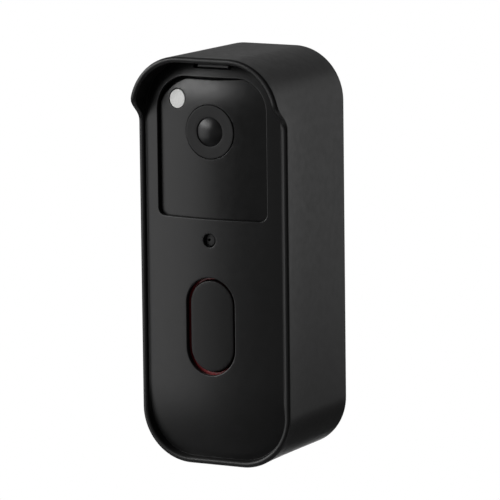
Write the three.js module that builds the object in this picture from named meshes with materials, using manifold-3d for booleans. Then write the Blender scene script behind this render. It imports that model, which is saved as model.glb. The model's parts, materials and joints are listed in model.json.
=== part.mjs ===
// A battery video doorbell in its rubber weather cover, hung on a wall bracket.
// It is modelled as it hangs on the wall, in millimetres: x across, y up and z out of the wall.
// The last group turns it so that +Z is up and the front faces -Y. The origin is the centre of the
// bracket's back face.
import * as THREE from "three";
import { mergeVertices } from "three/addons/utils/BufferGeometryUtils.js";
import Module from "manifold-3d";

// ---- driving dimensions -------------------------------------------------------------------------

const GAP = 0.3; // clearance between neighbouring pieces
const BEYOND = 5; // how far a cutting tool reaches past what it cuts

// Weather cover: a rounded box open at the back, with a rim in front and a rain visor on top.
const COVER_WIDTH = 54;
const COVER_HEIGHT = 135;
const COVER_CORNER = 17.6;
const COVER_WALL = 2;
const COVER_BACK_Z = 0.2;
const COVER_DRAFT_X = 0.54; // how much narrower the back outline is
const COVER_DRAFT_Y = 0.87;
const RIM_Z = 41;
const VISOR_Z = 47;
const STEP_LOW_Y = 45; // the visor fades out between these heights
const STEP_HIGH_Y = 54.5;
const FASCIA_THICKNESS = 1.7;

// Doorbell housing: two halves that meet at SPLIT_Z, with a crowned face.
const HOUSING_WIDTH = COVER_WIDTH - 2 * COVER_WALL - 2 * GAP;
const HOUSING_HEIGHT = COVER_HEIGHT - 2 * COVER_WALL - 2 * GAP;
const HOUSING_CORNER = COVER_CORNER - COVER_WALL - GAP;
const HOUSING_WALL = 2;
const HOUSING_BACK_Z = 1;
const SPLIT_Z = 22;
const FACE_Z = 41.65; // highest line of the crowned face
const FACE_RADIUS = 86; // across the width
const TOP_ROLL = { from: 49, radius: 34 }; // the face rolls back towards its top and bottom
const BOTTOM_ROLL = { from: -40, radius: 75 };
const FACE_DEPTH = 3.4; // the front wall, measured from the face

// Camera window: the glossy upper panel, set flush in the face.
const WINDOW_BOTTOM = 14;
const WINDOW_TOP = 60.5;
const WINDOW_WIDTH = 40.4;
const WINDOW_TOP_CORNER = 10.8;
const WINDOW_BOTTOM_CORNER = 2.5;
const PANEL_MARGIN = 1.6; // hidden under the cover all round
const PANEL_THICKNESS = 1.5;
const LENS_Y = 42.75;
const LENS_RING_RADIUS = 9.1;
const LENS_RING_FRONT = 41.8;
const LENS_RING_THICKNESS = 1.75;
const LENS_HOLE_RADIUS = 4.9;
const LENS_RADIUS = 4.6;
const SENSOR_X = -13.4;
const SENSOR_Y = 52.75;
const SENSOR_RADIUS = 3.2;
const LED_X = 14.5;
const LED_Y = 26;

// Microphone, button and its light ring.
const MIC_X = -0.7;
const MIC_Y = 7.3;
const MIC_HOLE_RADIUS = 2.2; // in the cover
const BUTTON_Y = -21.2;
const BUTTON_WIDTH = 16;
const BUTTON_HEIGHT = 30.2;
const BUTTON_SURROUND = 1.1; // from the cap to the edge of the cover's opening
const BUTTON_PROUD = 0.7;

// Release tab: a bar in a groove along the top wall, seen through a slot in the cover.
const TAB = { y: 64.4, width: 11.4, thickness: 1.1, back: 26.2, proud: 1.7 };
const TAB_TRAVEL = 1.5;
const TAB_LUG = { width: 5, low: 57.8, thickness: 1.3 };
const SLOT = { width: 14, height: 1.7, y: 64.25 };

// Back: the bracket, its hooks and the pocket that takes them.
const BRACKET = { width: 38, bottom: -48, top: 54, corner: 8, thickness: 3 };
const LIFT = 8; // how far the doorbell is lifted to come off the hooks
const POCKET_FLOOR_Z = 3.6;
const BACK_WALL = 2;
const HOOK_HEIGHTS = [-44, 44];
const HOOK = { width: 8, neck: 2.5, length: 6.5, back: 5.9, front: 7.5 };
const BOSSES = [[-19.2, 40], [19.2, 40], [-19.2, -42], [19.2, -42]];
const TERMINALS = [[-13, 42], [13, 42]];
const RESET = { x: 12, y: -48.5 };

// Bottom: charging port and speaker.
const PORT_Z = 11.9;
const PORT_NOTCH = { halfWidth: 9, front: 18 }; // in the cover, and open at its back
const PORT_SEAT = { width: 15.6, height: 8.6, hingeCorner: 0.5, freeCorner: 2 };
const SPEAKER_Z = 27.8;
const GRILLE_PITCH = 4;

// Batteries and boards.
const CELL_RADIUS = 9.2;
const CELL_LENGTH = 64.8;
const CELL_X = 9.5;
const CELL_Z = 16.8;
const MAIN_BOARD_Z = 26.6;
const BUTTON_BOARD_Z = 29.6;
const CHARGE_BOARD_Z = 9.1;

// ---- solids -------------------------------------------------------------------------------------

const wasm = await Module();
wasm.setup();

// A closed three.js geometry as a solid that can be joined and cut.
function solid(geometry) {
  geometry.deleteAttribute("normal");
  geometry.deleteAttribute("uv");
  const merged = mergeVertices(geometry, 1e-4);
  const mesh = new wasm.Mesh({
    numProp: 3,
    vertProperties: merged.attributes.position.array,
    triVerts: new Uint32Array(merged.index.array),
  });
  return new wasm.Manifold(mesh);
}

const cutAll = (body, cutters) => cutters.reduce((left, cutter) => left.subtract(cutter), body);
const joinAll = (bodies) => bodies.reduce((sum, body) => sum.add(body));

// An outline standing in the xy plane, with one corner radius at its top and one at its bottom.
function outline(left, right, bottom, top, topCorner, bottomCorner = topCorner) {
  const shape = new THREE.Shape();
  const quarter = Math.PI / 2;
  shape.absarc(right - topCorner, top - topCorner, topCorner, 0, quarter);
  shape.absarc(left + topCorner, top - topCorner, topCorner, quarter, 2 * quarter);
  shape.absarc(left + bottomCorner, bottom + bottomCorner, bottomCorner, 2 * quarter, 3 * quarter);
  shape.absarc(right - bottomCorner, bottom + bottomCorner, bottomCorner, 3 * quarter, 4 * quarter);
  shape.closePath();
  return shape;
}

// The same, given by its centre and size.
function rounded(width, height, corner, x = 0, y = 0) {
  return outline(x - width / 2, x + width / 2, y - height / 2, y + height / 2, corner);
}

const coverOutline = (inset) => rounded(
  COVER_WIDTH - 2 * inset,
  COVER_HEIGHT - 2 * inset,
  COVER_CORNER - inset,
);
const housingOutline = (inset) => rounded(
  HOUSING_WIDTH - 2 * inset,
  HOUSING_HEIGHT - 2 * inset,
  HOUSING_CORNER - inset,
);
const windowOutline = (margin) => outline(
  -WINDOW_WIDTH / 2 - margin,
  WINDOW_WIDTH / 2 + margin,
  WINDOW_BOTTOM - margin,
  WINDOW_TOP + margin,
  WINDOW_TOP_CORNER + margin,
  WINDOW_BOTTOM_CORNER + margin,
);
// A round-ended outline around the button, wider than the cap by a margin on every side.
const buttonOutline = (margin) => rounded(
  BUTTON_WIDTH + 2 * margin,
  BUTTON_HEIGHT + 2 * margin,
  BUTTON_WIDTH / 2 + margin,
  0,
  BUTTON_Y,
);

// An outline given thickness from one distance off the wall to another.
function slab(shape, back, front, arcSteps = 4) {
  const settings = { depth: front - back, bevelEnabled: false, curveSegments: arcSteps };
  return solid(new THREE.ExtrudeGeometry(shape, settings).translate(0, 0, back));
}

// An outline drawn in x and z, given thickness downwards from one height to another.
function drop(shape, high, low, arcSteps = 2) {
  const settings = { depth: high - low, bevelEnabled: false, curveSegments: arcSteps };
  return solid(new THREE.ExtrudeGeometry(shape, settings).rotateX(Math.PI / 2).translate(0, high, 0));
}

function box(left, right, bottom, top, back, front) {
  const geometry = new THREE.BoxGeometry(right - left, top - bottom, front - back);
  return solid(geometry.translate((left + right) / 2, (bottom + top) / 2, (back + front) / 2));
}

// A profile of [radius, z] points turned about a line that points out of the wall at (x, y).
function turned(profile, x, y, sides = 16) {
  const points = profile.map(([radius, z]) => new THREE.Vector2(radius, -z));
  const geometry = new THREE.LatheGeometry(points.reverse(), sides).rotateX(-Math.PI / 2);
  return solid(geometry.translate(x, y, 0));
}

const disc = (radius, x, y, back, front, sides = 16) => turned(
  [[0, back], [radius, back], [radius, front], [0, front]],
  x,
  y,
  sides,
);

const tube = (outer, inner, x, y, back, front, sides = 20) => turned(
  [[inner, back], [outer, back], [outer, front], [inner, front], [inner, back]],
  x,
  y,
  sides,
);

// How far an arc has fallen back at a distance from where it starts.
function rollBack(distance, radius) {
  return distance > 0 ? radius - Math.sqrt(radius ** 2 - distance ** 2) : 0;
}

// The crowned face: convex across, and rolling back at the top and the bottom.
function faceHeight(x, y) {
  const top = rollBack(y - TOP_ROLL.from, TOP_ROLL.radius);
  const bottom = rollBack(BOTTOM_ROLL.from - y, BOTTOM_ROLL.radius);
  return FACE_Z - x ** 2 / (2 * FACE_RADIUS) - top - bottom;
}

// Everything behind the crowned face, or behind a copy of it moved out by an offset.
function behindFace(offset) {
  const geometry = new THREE.BoxGeometry(COVER_WIDTH + 2, COVER_HEIGHT + 2, 2, 10, 20, 1);
  const place = geometry.attributes.position;
  for (let i = 0; i < place.count; i += 1) {
    const front = faceHeight(place.getX(i), place.getY(i)) + offset;
    place.setZ(i, place.getZ(i) > 0 ? front : -BEYOND);
  }
  return solid(geometry);
}

const face = behindFace(0);
const faceInside = behindFace(-FACE_DEPTH);

// ---- weather cover ------------------------------------------------------------------------------

function taperedCoverBlock() {
  const depth = VISOR_Z - COVER_BACK_Z;
  const settings = { depth, bevelEnabled: false, curveSegments: 5 };
  const geometry = new THREE.ExtrudeGeometry(coverOutline(0), settings);
  const place = geometry.attributes.position;
  for (let i = 0; i < place.count; i += 1) {
    const atBack = place.getZ(i) < depth / 2;
    place.setX(i, place.getX(i) * (atBack ? 1 - COVER_DRAFT_X / COVER_WIDTH : 1));
    place.setY(i, place.getY(i) * (atBack ? 1 - COVER_DRAFT_Y / COVER_HEIGHT : 1));
  }
  return solid(geometry.translate(0, 0, COVER_BACK_Z));
}

// What is cut away in front of the rim, below the visor. The edge between them is an S-curve.
function visorCut() {
  const side = new THREE.Shape();
  const highSweep = STEP_HIGH_Y - 5.7;
  const lowSweep = STEP_LOW_Y + 4.2;
  side.moveTo(RIM_Z, -COVER_HEIGHT);
  side.lineTo(VISOR_Z + BEYOND, -COVER_HEIGHT);
  side.lineTo(VISOR_Z + BEYOND, STEP_HIGH_Y);
  side.lineTo(VISOR_Z, STEP_HIGH_Y);
  side.bezierCurveTo(VISOR_Z, highSweep, RIM_Z, lowSweep, RIM_Z, STEP_LOW_Y);
  side.closePath();
  const settings = { depth: COVER_WIDTH + 2, bevelEnabled: false, curveSegments: 8 };
  const geometry = new THREE.ExtrudeGeometry(side, settings).rotateY(-Math.PI / 2);
  return solid(geometry.translate(COVER_WIDTH / 2 + 1, 0, 0));
}

function siliconeCover() {
  const inside = slab(coverOutline(COVER_WALL), -BEYOND, VISOR_Z + BEYOND, 5);
  const ring = taperedCoverBlock().subtract(inside).subtract(visorCut());
  const fascia = behindFace(GAP + FASCIA_THICKNESS)
    .subtract(behindFace(GAP))
    .intersect(slab(coverOutline(COVER_WALL / 2), 0, VISOR_Z, 5));
  const behind = RIM_Z - BEYOND;
  const bottom = -COVER_HEIGHT / 2;
  const inner = bottom + COVER_WALL + 1;
  const half = SLOT.width / 2;
  const { front, halfWidth } = PORT_NOTCH;
  const openings = [
    slab(windowOutline(0), behind, VISOR_Z),
    slab(buttonOutline(BUTTON_SURROUND), behind, VISOR_Z),
    disc(MIC_HOLE_RADIUS, 0, MIC_Y, behind, VISOR_Z, 16),
    box(-half, half, SLOT.y - SLOT.height / 2, SLOT.y + SLOT.height / 2, behind, VISOR_Z - BEYOND),
    box(-halfWidth, halfWidth, bottom - 1, inner, -1, front),
    drop(rounded(22, 8.4, 3, 0, SPEAKER_Z), inner, bottom - 1),
  ];
  return cutAll(ring.add(fascia), openings);
}

// ---- housing ------------------------------------------------------------------------------------

// The top wall is thicker where the release tab's groove runs.
function tabPad() {
  const half = TAB.width / 2 + 2;
  return box(-half, half, 62.3, HOUSING_HEIGHT / 2 - 0.5, SPLIT_Z + GAP, 36);
}

// The groove is open at the top. The tab's lug reaches inside through a slot in its floor.
function tabCuts() {
  const half = TAB.width / 2 + GAP;
  const low = TAB.y - TAB.thickness / 2 - GAP;
  const back = TAB.back - TAB_TRAVEL - GAP;
  const lugHalf = TAB_LUG.width / 2 + GAP;
  return [
    box(-half, half, low, HOUSING_HEIGHT / 2 + 1, back, FACE_Z + 1),
    box(-lugHalf, lugHalf, TAB_LUG.low, low + 1, back, TAB.back + TAB_LUG.thickness + GAP),
  ];
}

function screwBoss(x, y, back, front) {
  return disc(2.9, x, y, back, front, 12);
}

// The bracket's pocket is longer than the bracket by the lift, so that the hooks can let go.
function backPocket() {
  const half = BRACKET.width / 2 + 0.6;
  const shape = outline(-half, half, BRACKET.bottom - LIFT - 0.6, BRACKET.top + 0.6, 8.6);
  return slab(shape, -BEYOND, POCKET_FLOOR_Z);
}

function hookSlot(y) {
  const half = HOOK.width / 2 + 0.5;
  const low = y - LIFT - 0.5;
  return box(-half, half, low, y + HOOK.neck + GAP, 0, POCKET_FLOOR_Z + BACK_WALL + 0.2);
}

// The outline of the seat that the port's flap closes into, with its hinge side at the wall.
function portOutline(inset) {
  const halfWidth = PORT_SEAT.width / 2 - inset;
  const halfHeight = PORT_SEAT.height / 2 - inset;
  return outline(
    -halfWidth,
    halfWidth,
    PORT_Z - halfHeight,
    PORT_Z + halfHeight,
    PORT_SEAT.freeCorner - inset,
    PORT_SEAT.hingeCorner - inset / 2,
  );
}

// The hole for the charging port, and the flap's shallow seat around it.
function portCuts() {
  const bottom = -HOUSING_HEIGHT / 2;
  return [
    drop(rounded(10, 4.2, 2, 0, PORT_Z), bottom + HOUSING_WALL + 1, bottom - 1),
    drop(portOutline(0), bottom + 1.3, bottom - 1),
  ];
}

function rearHousing() {
  const floor = POCKET_FLOOR_Z + BACK_WALL;
  const shell = slab(housingOutline(0), HOUSING_BACK_Z, SPLIT_Z)
    .subtract(slab(housingOutline(HOUSING_WALL), floor, SPLIT_Z + 1));
  const posts = BOSSES.map(([x, y]) => screwBoss(x, y, floor - 1, SPLIT_Z - 0.2));
  const wells = TERMINALS.map(([x, y]) => disc(3.6, x, y, floor - 1, floor + 3.4, 12));
  const reset = disc(2.9, RESET.x, RESET.y, floor - 1, floor + 0.1, 12);
  const groove = slab(housingOutline(0.35), SPLIT_Z - 0.8, SPLIT_Z + 1)
    .subtract(slab(housingOutline(1.65), SPLIT_Z - 2, SPLIT_Z + 2));
  const cuts = [
    backPocket(),
    groove,
    ...HOOK_HEIGHTS.map(hookSlot),
    ...BOSSES.map(([x, y]) => disc(1.2, x, y, -1, SPLIT_Z + 1, 10)),
    ...BOSSES.map(([x, y]) => disc(2.2, x, y, -1, 16, 12)),
    ...TERMINALS.map(([x, y]) => disc(2.9, x, y, 0, floor - 0.2, 12)),
    ...TERMINALS.map(([x, y]) => disc(1.5, x, y, 0, floor + 4, 10)),
    disc(1.8, RESET.x, RESET.y, 0, floor + 1, 12),
    ...portCuts(),
  ];
  return cutAll(joinAll([shell, ...posts, ...wells, reset]), cuts);
}

function frontHousing() {
  const back = SPLIT_Z + GAP;
  const hollow = slab(housingOutline(HOUSING_WALL), 0, FACE_Z + 1).intersect(faceInside);
  const shell = slab(housingOutline(0), back, FACE_Z + 1).intersect(face).subtract(hollow);
  const posts = BOSSES.map(([x, y]) => screwBoss(x, y, back + 0.1, 37));
  const panelSeat = slab(windowOutline(PANEL_MARGIN + GAP), 0, FACE_Z + 1)
    .subtract(behindFace(-PANEL_THICKNESS - GAP));
  const grille = [-2, -1, 0, 1, 2].map((step) => drop(
    rounded(2, 6.4, 0.9, step * GRILLE_PITCH, SPEAKER_Z),
    -HOUSING_HEIGHT / 2 + HOUSING_WALL + 1,
    -HOUSING_HEIGHT / 2 - 1,
    1,
  ));
  const cuts = [
    panelSeat,
    ...tabCuts(),
    slab(buttonOutline(1.9), 30, FACE_Z + 1),
    disc(6.9, 0, LENS_Y, 30, FACE_Z + 1, 20),
    disc(SENSOR_RADIUS + GAP, SENSOR_X, SENSOR_Y, 30, FACE_Z + 1, 16),
    disc(2.5, -LED_X, LED_Y, 30, FACE_Z + 1, 12),
    disc(2.5, LED_X, LED_Y, 30, FACE_Z + 1, 12),
    disc(0.45, MIC_X, MIC_Y, 30, FACE_Z + 1, 8),
    ...BOSSES.map(([x, y]) => disc(1.2, x, y, 0, 30, 10)),
    ...grille,
  ];
  return cutAll(joinAll([shell, tabPad(), ...posts]), cuts);
}

function housingSeal() {
  return slab(housingOutline(0.5), SPLIT_Z - 0.6, SPLIT_Z + 0.2, 3)
    .subtract(slab(housingOutline(1.5), 0, FACE_Z, 3));
}

function housingScrew([x, y]) {
  const profile = [[0, 15.6], [1, 15.6], [1, 28], [0.4, 29], [0, 29]];
  const shank = turned(profile, x, y, 8);
  const head = turned([[0, 15.2], [0.8, 14.2], [1.9, 14.2], [1.9, 15.8], [0, 15.8]], x, y, 12);
  return shank.add(head);
}

// ---- camera and sensors -------------------------------------------------------------------------

function cameraWindow() {
  const panel = slab(windowOutline(PANEL_MARGIN), 0, FACE_Z + 1)
    .intersect(face)
    .subtract(behindFace(-PANEL_THICKNESS));
  return cutAll(panel, [
    disc(LENS_RING_RADIUS + 0.2, 0, LENS_Y, 0, FACE_Z + 1, 32),
    disc(SENSOR_RADIUS + 0.25, SENSOR_X, SENSOR_Y, 0, FACE_Z + 1, 20),
  ]);
}

function lensRing() {
  const front = LENS_RING_FRONT;
  const back = front - LENS_RING_THICKNESS;
  const profile = [
    [LENS_HOLE_RADIUS, back],
    [LENS_RING_RADIUS, back],
    [LENS_RING_RADIUS, front - 0.25],
    [LENS_RING_RADIUS - 0.25, front],
    [LENS_HOLE_RADIUS + 0.1, front],
    [LENS_HOLE_RADIUS, front - 0.1],
    [LENS_HOLE_RADIUS, back],
  ];
  return turned(profile, 0, LENS_Y, 32);
}

// The front element: a short cylinder with a domed front.
function lensDome() {
  const base = LENS_RING_FRONT - 0.6;
  const height = 2;
  const sphere = (LENS_RADIUS ** 2 + height ** 2) / (2 * height);
  const profile = [[0, base - 0.4], [LENS_RADIUS, base - 0.4]];
  const steps = 5;
  for (let i = 0; i <= steps; i += 1) {
    const radius = LENS_RADIUS * (1 - i / steps);
    const rise = Math.sqrt(sphere ** 2 - radius ** 2) - (sphere - height);
    profile.push([radius, base + rise]);
  }
  return turned(profile, 0, LENS_Y, 24);
}

function lensBarrel() {
  const neck = LENS_RING_FRONT - 1.3;
  const shoulder = LENS_RING_FRONT - 2.8;
  const profile = [
    [3.4, 33],
    [6.5, 33],
    [6.5, shoulder],
    [4.6, shoulder],
    [4.6, neck],
    [3.4, neck],
    [3.4, 33],
  ];
  return turned(profile, 0, LENS_Y, 20);
}

function innerLens() {
  const profile = [[0, 34.6], [2.4, 35.1], [3.1, 35.6], [3.1, 36.2], [2.2, 36.8], [0, 37.1]];
  return turned(profile, 0, LENS_Y, 16);
}

// The holder between the barrel and the image sensor. The filter slides across inside it.
function lensHolder() {
  const block = box(-8.5, 14.5, LENS_Y - 8.3, LENS_Y + 8.3, 29.5, 35.6);
  return cutAll(block, [
    disc(6.8, 0, LENS_Y, 32.6, 37, 20),
    disc(3.5, 0, LENS_Y, 31, 33, 16),
    box(-6.7, 12.3, LENS_Y - 4.6, LENS_Y + 4.6, 30.6, 32),
    box(-4.4, 4.4, LENS_Y - 3.9, LENS_Y + 3.9, 29, 31),
  ]);
}

function cameraFlex() {
  const side = [[27.5, 32.2], [27.7, 32.2], [28.6, 31.75], [27.7, 31.3], [27.5, 31.3], [28.3, 31.75]];
  const shape = new THREE.Shape(side.map(([z, y]) => new THREE.Vector2(z, y)));
  const settings = { depth: 9, bevelEnabled: false };
  return solid(new THREE.ExtrudeGeometry(shape, settings).rotateY(-Math.PI / 2).translate(4.5, 0, 0));
}

function motionSensorLens() {
  return disc(SENSOR_RADIUS, SENSOR_X, SENSOR_Y, 36.6, FACE_Z + 1, 20).intersect(face);
}

function infraredLed(x) {
  const base = box(x - 1.7, x + 1.7, LED_Y - 1.7, LED_Y + 1.7, MAIN_BOARD_Z + 1.4, MAIN_BOARD_Z + 2.6);
  const dome = turned([[0, 28.5], [1.4, 28.5], [1.3, 29.8], [0.8, 30.4], [0, 30.6]], x, LED_Y, 10);
  return base.add(dome);
}

// ---- button -------------------------------------------------------------------------------------

const RING_NARROW = { inner: 0.3, outer: 1.6 };
const RING_SKIRT = { inner: 1.7, outer: 3 };
const RING_SHOULDER_Z = 35.4;

function buttonCap() {
  const cap = slab(buttonOutline(0), RING_SHOULDER_Z - GAP - 0.5, FACE_Z + 2)
    .intersect(behindFace(BUTTON_PROUD));
  const flangeOutline = buttonOutline(RING_SKIRT.inner - 0.4);
  const flange = slab(flangeOutline, RING_SHOULDER_Z - 1.8, RING_SHOULDER_Z - GAP);
  return cap.add(flange);
}

// A clear sleeve: its narrow front shows around the cap, its wide back stands over the LEDs.
function buttonLightRing() {
  const narrow = slab(buttonOutline(RING_NARROW.outer), RING_SHOULDER_Z, FACE_Z + 1).intersect(face);
  const skirt = slab(buttonOutline(RING_SKIRT.outer), 32.6, RING_SHOULDER_Z + 1.2);
  return cutAll(narrow.add(skirt), [
    slab(buttonOutline(RING_NARROW.inner), 0, FACE_Z + 2),
    slab(buttonOutline(RING_SKIRT.inner), 0, RING_SHOULDER_Z),
  ]);
}

function buttonSeal() {
  return slab(buttonOutline(1.2), BUTTON_BOARD_Z + 1.5, 32.7)
    .subtract(slab(buttonOutline(-2), 0, FACE_Z));
}

function tactileSwitch() {
  return box(-3, 3, BUTTON_Y - 3, BUTTON_Y + 3, BUTTON_BOARD_Z + 1.3, 32.6)
    .subtract(disc(1.8, 0, BUTTON_Y, 29, 34, 12));
}

// ---- release tab --------------------------------------------------------------------------------

function releaseTab() {
  const { y, width, thickness, back, proud } = TAB;
  const bar = box(-width / 2, width / 2, y - thickness / 2, y + thickness / 2, back, FACE_Z)
    .intersect(behindFace(proud));
  const lugHalf = TAB_LUG.width / 2;
  const lug = box(-lugHalf, lugHalf, TAB_LUG.low, y, back, back + TAB_LUG.thickness);
  return bar.add(lug);
}

// A coil spring between the housing's back wall and the tab's lug.
function releaseSpring() {
  const coil = { radius: 1.7, wire: 0.3, turns: 5, low: 6.3, high: TAB.back - 2 * GAP };
  const points = [];
  const steps = 40;
  for (let i = 0; i <= steps; i += 1) {
    const angle = (i / steps) * coil.turns * 2 * Math.PI;
    const z = coil.low + ((coil.high - coil.low) * i) / steps;
    points.push(new THREE.Vector3(coil.radius * Math.cos(angle), 60 + coil.radius * Math.sin(angle), z));
  }
  const section = new THREE.Shape();
  section.absarc(0, 0, coil.wire, 0, 2 * Math.PI);
  const path = new THREE.CatmullRomCurve3(points);
  return solid(new THREE.ExtrudeGeometry(section, { steps: 40, curveSegments: 2, extrudePath: path }));
}

// ---- batteries, boards, speaker and port --------------------------------------------------------

function battery(x) {
  const half = CELL_LENGTH / 2;
  const profile = [
    [0, -half],
    [CELL_RADIUS, -half],
    [CELL_RADIUS, half - 1.6],
    [3, half - 1.6],
    [3, half],
    [0, half],
  ];
  const points = profile.map(([radius, y]) => new THREE.Vector2(radius, y));
  return solid(new THREE.LatheGeometry(points, 20).translate(x, 0, CELL_Z));
}

function batteryTray() {
  const half = 2 * CELL_X;
  const floor = box(-half, half, -34.4, 34.4, 5.9, CELL_Z - CELL_RADIUS - GAP);
  return joinAll([
    floor,
    box(-half, half, 33.1, 34.4, 5.9, 20),
    box(-half, half, -34.4, -33.1, 5.9, 20),
  ]);
}

const batteryContact = (y) => box(-15, 15, y - 0.2, y + 0.2, 9, 21);

const circuitBoard = (shape, back, thickness = 1.2) => slab(shape, back, back + thickness, 1);

function speakerFrame() {
  const low = -61.4;
  const block = drop(rounded(26, 9.6, 2, 0, SPEAKER_Z), low + 5, low);
  return block.subtract(drop(rounded(22.6, 7, 1.5, 0, SPEAKER_Z), low + 1.8, low - 1));
}

function speakerCone() {
  const low = -61.2;
  const plate = drop(rounded(21.6, 6, 1.2, 0, SPEAKER_Z), low + 1.2, low + 0.7);
  const dome = drop(rounded(14, 4, 1.9, 0, SPEAKER_Z), low + 0.8, low + 0.1);
  return plate.add(dome);
}

function speakerGasket() {
  return drop(rounded(23.6, 9.6, 2, 0, SPEAKER_Z), -61.7, -62.9)
    .subtract(drop(rounded(21.2, 7.4, 1.5, 0, SPEAKER_Z), -61, -64));
}

function usbPort() {
  const mouth = -62.9;
  const shell = drop(rounded(9, 3.2, 1.5, 0, PORT_Z), mouth + 7.4, mouth, 3);
  const hollow = drop(rounded(8.4, 2.6, 1.25, 0, PORT_Z), mouth + 6.6, mouth - 1, 3);
  const tongue = box(-3.3, 3.3, mouth + 0.8, mouth + 7, PORT_Z - 0.35, PORT_Z + 0.35);
  return shell.subtract(hollow).add(tongue);
}

function portFlap() {
  const low = -HOUSING_HEIGHT / 2 + 0.1;
  const lid = drop(portOutline(GAP), low + 0.9, low);
  const plug = drop(rounded(8.6, 2.8, 1.3, 0, PORT_Z), low + 1.7, low + 0.8);
  return lid.add(plug);
}

function terminalScrew([x, y]) {
  const head = turned([[0, 3.8], [2.4, 3.8], [2.4, 5.2], [0, 5.2]], x, y, 12);
  const thread = disc(1.3, x, y, 5, 8.6, 8);
  return head.add(thread).subtract(box(x - 3, x + 3, y - 0.35, y + 0.35, 3, 4.5));
}

function resetButton() {
  const pin = disc(1.5, RESET.x, RESET.y, 3.9, 6.2, 10);
  const flange = disc(2.3, RESET.x, RESET.y, 6, 7, 10);
  return pin.add(flange);
}

// ---- wall bracket -------------------------------------------------------------------------------

function wallBracket() {
  const { width, bottom, top, corner, thickness } = BRACKET;
  const plate = slab(outline(-width / 2, width / 2, bottom, top, corner), 0, thickness);
  const hooks = HOOK_HEIGHTS.flatMap((y) => [
    box(-HOOK.width / 2, HOOK.width / 2, y, y + HOOK.neck, thickness - 0.1, HOOK.front),
    box(-HOOK.width / 2, HOOK.width / 2, y, y + HOOK.length, HOOK.back, HOOK.front),
  ]);
  const countersink = [[0, -1], [2.3, -1], [2.3, 1.2], [4.3, 3.2], [4.3, 4], [0, 4]];
  return cutAll(joinAll([plate, ...hooks]), [
    slab(rounded(18, 20, 4, 0, 22), -1, thickness + 1, 3),
    turned(countersink, 0, -33, 16),
    turned(countersink, 0, 38, 16),
    slab(rounded(4.4, 16, 2.1, -13, -14), -1, thickness + 1, 2),
    slab(rounded(4.4, 16, 2.1, 13, -14), -1, thickness + 1, 2),
  ]);
}

// ---- materials ----------------------------------------------------------------------------------

const finish = (color, roughness, metalness = 0) => ({ color, roughness, metalness });
const FINISHES = {
  silicone: finish(0x1d1e1f, 0.62),
  matteBlack: finish(0x232425, 0.6),
  glossBlack: finish(0x141516, 0.25),
  whiteLens: finish(0xcfcfcd, 0.55),
  lensGlass: finish(0x101114, 0.12),
  redLight: finish(0x6d161c, 0.35),
  circuit: finish(0x14502f, 0.5),
  chip: finish(0x1a1a1c, 0.5),
  tin: finish(0xb4b6b8, 0.35, 0.9),
  steel: finish(0x8f9193, 0.4, 0.9),
  brass: finish(0xb0893f, 0.4, 0.9),
  wrap: finish(0x2b5fa8, 0.45),
  copper: finish(0xa5622c, 0.45, 0.4),
  greyPlastic: finish(0x55585b, 0.6),
  greyRubber: finish(0x3b3d40, 0.8),
};

// ---- assembly -----------------------------------------------------------------------------------

const doorbell = new THREE.Group();
doorbell.name = "video_doorbell";
const upright = new THREE.Group();
upright.rotation.x = Math.PI / 2;
doorbell.add(upright);

function add(name, finishName, body) {
  const mesh = body.getMesh();
  const geometry = new THREE.BufferGeometry();
  geometry.setAttribute("position", new THREE.BufferAttribute(mesh.vertProperties, 3));
  geometry.setIndex(new THREE.BufferAttribute(mesh.triVerts, 1));
  geometry.computeVertexNormals();
  const piece = new THREE.Mesh(geometry, new THREE.MeshStandardMaterial(FINISHES[finishName]));
  piece.name = name;
  upright.add(piece);
}

add("wall_bracket", "greyPlastic", wallBracket());
add("silicone_cover", "silicone", siliconeCover());

add("rear_housing", "matteBlack", rearHousing());
add("front_housing", "matteBlack", frontHousing());
add("housing_seal", "greyRubber", housingSeal());
BOSSES.forEach((place, i) => add(`housing_screw_${i + 1}`, "steel", housingScrew(place)));

add("camera_window", "glossBlack", cameraWindow());
add("lens_ring", "matteBlack", lensRing());
add("lens_dome", "lensGlass", lensDome());
add("lens_barrel", "chip", lensBarrel());
add("inner_lens", "lensGlass", innerLens());
add("lens_holder", "chip", lensHolder());
add("ir_cut_filter", "redLight", box(-6.2, 6.2, LENS_Y - 4.2, LENS_Y + 4.2, 30.9, 31.7));
add("image_sensor", "chip", box(-3.9, 3.9, LENS_Y - 3.4, LENS_Y + 3.4, 28.4, 29.9));
add("camera_board", "circuit", circuitBoard(rounded(24, 19.6, 1.5, 0, LENS_Y), 27.1));
add("camera_flex", "copper", cameraFlex());
add("motion_sensor_lens", "whiteLens", motionSensorLens());
add("motion_sensor", "tin", disc(2.7, SENSOR_X, SENSOR_Y, 31.2, 35.4, 14));
add("motion_sensor_board", "circuit", box(-18.2, -9, SENSOR_Y - 5, SENSOR_Y + 4.4, 29.8, 31));
add("ir_led_1", "lensGlass", infraredLed(-LED_X));
add("ir_led_2", "lensGlass", infraredLed(LED_X));
add("microphone", "tin", box(MIC_X - 1.9, MIC_X + 1.9, MIC_Y - 1.5, MIC_Y + 1.5, 28, 29.1));
add("microphone_boot", "greyRubber", tube(2.8, 0.6, MIC_X, MIC_Y, 29.3, 37.7, 12));

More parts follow.
